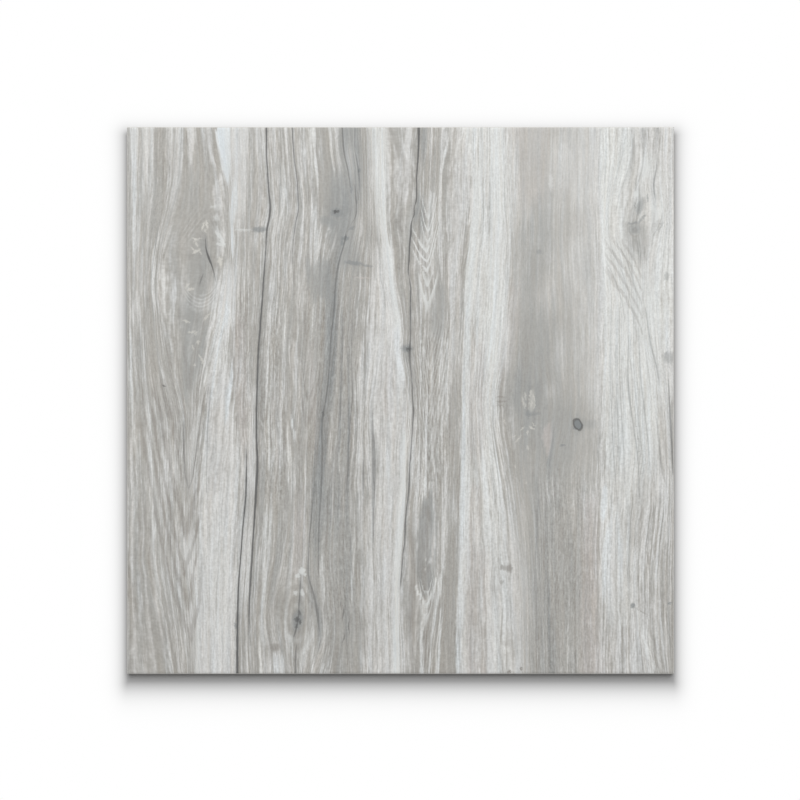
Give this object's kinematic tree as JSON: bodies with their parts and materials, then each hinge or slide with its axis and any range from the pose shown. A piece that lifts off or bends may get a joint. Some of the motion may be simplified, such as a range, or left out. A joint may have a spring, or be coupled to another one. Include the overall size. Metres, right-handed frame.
{
  "type": "wood-look porcelain tile",
  "caption": "Flat square porcelain floor tile with a printed grey weathered-plank wood grain face, ground edges and a shallow waffle key pressed into its back.",
  "frame": {"origin": "middle of the bedding plane, where the ribs of the pressed back meet the floor", "axes": "+Z out of the decorated face, +Y along the printed grain, +X across the grain"},
  "size_m": [0.6, 0.6, 0.01],
  "materials": {
    "porcelain": "matte"
  },
  "bodies": {
    "root": {"tile": "porcelain"}
  },
  "joints": []
}
